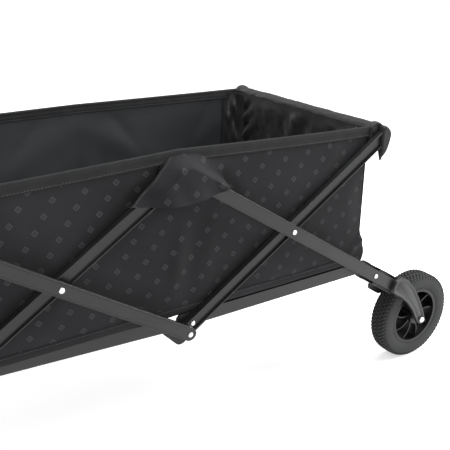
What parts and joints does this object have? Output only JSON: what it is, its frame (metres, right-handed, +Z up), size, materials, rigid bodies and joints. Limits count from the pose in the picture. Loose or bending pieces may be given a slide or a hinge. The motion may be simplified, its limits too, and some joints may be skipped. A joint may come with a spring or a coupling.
{
  "type": "folding camp wagon",
  "caption": "Folding camp wagon: dark fabric basket in a grey double-scissor bar frame on fat wheels, with folding floor, swivel casters and telescopic pull handle.",
  "frame": {"origin": "on the ground, under the middle of the whole wagon", "axes": "+X along the wagon towards the rear fixed wheels (the pull handle is at -X), +Y across, +Z up; stored open, standing on its wheels"},
  "size_m": [1.397, 0.56, 0.858],
  "materials": {
    "grey_steel": "satin powder coat, dark grey",
    "fabric": "coated woven polyester, near black",
    "floor_board": "stiff board covered with woven fabric",
    "black_plastic": "moulded, fine texture",
    "grey_plastic": "moulded, satin, mid grey",
    "tyre": "matt foam rubber",
    "zinc": "zinc plated",
    "bright_tube": "drawn tube, anodised"
  },
  "bodies": {
    "basket": {"top_hinge_plates": "black_plastic", "top_hinge_pins": "zinc", "side_panel_near": "fabric", "side_panel_far": "fabric", "end_panel_rear": "fabric", "end_panel_front": "fabric"},
    "rear_leg": {"rear_leg_bar_near": "grey_steel", "rear_leg_bar_far": "grey_steel", "rear_lower_tube": "grey_steel", "rear_rivets": "zinc", "rear_rail_collars": "black_plastic", "rear_fork_sockets": "black_plastic", "rear_fork_near": "grey_plastic", "rear_fork_far": "grey_plastic", "rear_axle_bolts": "zinc"},
    "rear_arm": {"rear_arm_bar_near": "grey_steel", "rear_arm_bar_far": "grey_steel", "rear_arm_rivets": "zinc", "rear_corner_brackets": "black_plastic", "rear_top_tube": "grey_steel"},
    "front_leg": {"front_leg_bar_near": "grey_steel", "front_leg_bar_far": "grey_steel", "front_lower_tube": "grey_steel", "front_leg_rivets": "zinc", "front_rail_collars": "black_plastic", "caster_housing_near": "black_plastic", "caster_housing_far": "black_plastic"},
    "front_arm": {"front_arm_bar_near": "grey_steel", "front_arm_bar_far": "grey_steel", "front_arm_rivets": "zinc", "front_corner_brackets": "black_plastic", "front_top_tube": "grey_steel"},
    "keel": {"keel_bracket_near": "black_plastic", "keel_bracket_far": "black_plastic", "keel_tube": "grey_steel", "keel_pins": "zinc", "floor_board_centre": "floor_board"},
    "floor_rear": {"rear_floor_rails": "grey_steel", "floor_board_rear": "floor_board"},
    "floor_front": {"front_floor_rails": "grey_steel", "floor_board_front": "floor_board"},
    "handle_mount": {"handle_clamp": "black_plastic", "handle_pin": "zinc"},
    "handle_tube": {"handle_outer_tube": "grey_steel", "handle_collar": "black_plastic"},
    "handle_rod": {"handle_inner_tube": "bright_tube", "handle_grip": "black_plastic"},
    "lock_button": {"lock_button": "black_plastic"},
    "caster_near": {"caster_fork_near": "grey_plastic", "caster_axle_near": "zinc"},
    "caster_far": {"caster_fork_far": "grey_plastic", "caster_axle_far": "zinc"},
    "wheel_rear_near": {"rear_tyre_near": "tyre", "rear_rim_near": "black_plastic"},
    "wheel_rear_far": {"rear_tyre_far": "tyre", "rear_rim_far": "black_plastic"},
    "wheel_front_near": {"front_tyre_near": "tyre", "front_rim_near": "black_plastic"},
    "wheel_front_far": {"front_tyre_far": "tyre", "front_rim_far": "black_plastic"}
  },
  "joints": [
    {"name": "fold", "type": "hinge", "parent": "basket", "child": "rear_leg", "pos_m": [0, 0, 0.53838], "axis": [0, 1, 0], "range_deg": [0, 44], "deforming": ["side_panel_near", "side_panel_far", "end_panel_rear", "end_panel_front"]},
    {"name": "rear_scissor", "type": "hinge", "parent": "rear_leg", "child": "rear_arm", "pos_m": [0.224, 0, 0.39124], "axis": [0, 1, 0], "range_deg": [-88, 0]},
    {"name": "front_leg_swing", "type": "hinge", "parent": "basket", "child": "front_leg", "pos_m": [0, 0, 0.53838], "axis": [0, 1, 0], "range_deg": [-44, 0]},
    {"name": "front_scissor", "type": "hinge", "parent": "front_leg", "child": "front_arm", "pos_m": [-0.224, 0, 0.39124], "axis": [0, 1, 0], "range_deg": [0, 88]},
    {"name": "keel_pivot", "type": "hinge", "parent": "rear_arm", "child": "keel", "pos_m": [0, 0, 0.2441], "axis": [0, 1, 0], "range_deg": [0, 44]},
    {"name": "rear_floor_hinge", "type": "hinge", "parent": "keel", "child": "floor_rear", "pos_m": [0.038, 0, 0.2531], "axis": [0, 1, 0], "range_deg": [-83.6, 0]},
    {"name": "front_floor_hinge", "type": "hinge", "parent": "keel", "child": "floor_front", "pos_m": [-0.038, 0, 0.2531], "axis": [0, 1, 0], "range_deg": [0, 83.6]},
    {"name": "handle_clamp_turn", "type": "hinge", "parent": "front_leg", "child": "handle_mount", "pos_m": [-0.44799, 0, 0.2441], "axis": [0, 1, 0], "range_deg": [0, 44]},
    {"name": "handle_tilt", "type": "hinge", "parent": "handle_mount", "child": "handle_tube", "pos_m": [-0.49, 0, 0.2441], "axis": [0, -1, 0], "range_deg": [0, 100]},
    {"name": "handle_slide", "type": "slide", "parent": "handle_tube", "child": "handle_rod", "axis": [0.0262, 0, 0.9997], "range_m": [0, 0.35]},
    {"name": "handle_button", "type": "slide", "parent": "handle_tube", "child": "lock_button", "axis": [0.9997, 0, -0.0262], "range_m": [0, 0.003], "stiffness_N_per_m": 300},
    {"name": "caster_swivel_near", "type": "hinge", "parent": "front_leg", "child": "caster_near", "pos_m": [-0.63199, -0.2366, 0.23], "axis": [0, 0, 1], "continuous": true},
    {"name": "caster_swivel_far", "type": "hinge", "parent": "front_leg", "child": "caster_far", "pos_m": [-0.63199, 0.2366, 0.23], "axis": [0, 0, 1], "continuous": true},
    {"name": "rear_wheel_spin_near", "type": "hinge", "parent": "rear_leg", "child": "wheel_rear_near", "pos_m": [0.59699, -0.2366, 0.1015], "axis": [0, 1, 0], "continuous": true},
    {"name": "rear_wheel_spin_far", "type": "hinge", "parent": "rear_leg", "child": "wheel_rear_far", "pos_m": [0.59699, 0.2366, 0.1015], "axis": [0, 1, 0], "continuous": true},
    {"name": "front_wheel_spin_near", "type": "hinge", "parent": "caster_near", "child": "wheel_front_near", "pos_m": [-0.59699, -0.2366, 0.1015], "axis": [0, 1, 0], "continuous": true},
    {"name": "front_wheel_spin_far", "type": "hinge", "parent": "caster_far", "child": "wheel_front_far", "pos_m": [-0.59699, 0.2366, 0.1015], "axis": [0, 1, 0], "continuous": true}
  ],
  "couplings": [
    {"joint": "rear_scissor", "follows": "fold", "ratio": -2},
    {"joint": "front_leg_swing", "follows": "fold", "ratio": -1},
    {"joint": "front_scissor", "follows": "fold", "ratio": 2},
    {"joint": "keel_pivot", "follows": "fold", "ratio": 1},
    {"joint": "rear_floor_hinge", "follows": "fold", "ratio": -1.9},
    {"joint": "front_floor_hinge", "follows": "fold", "ratio": 1.9},
    {"joint": "handle_clamp_turn", "follows": "fold", "ratio": 1}
  ]
}
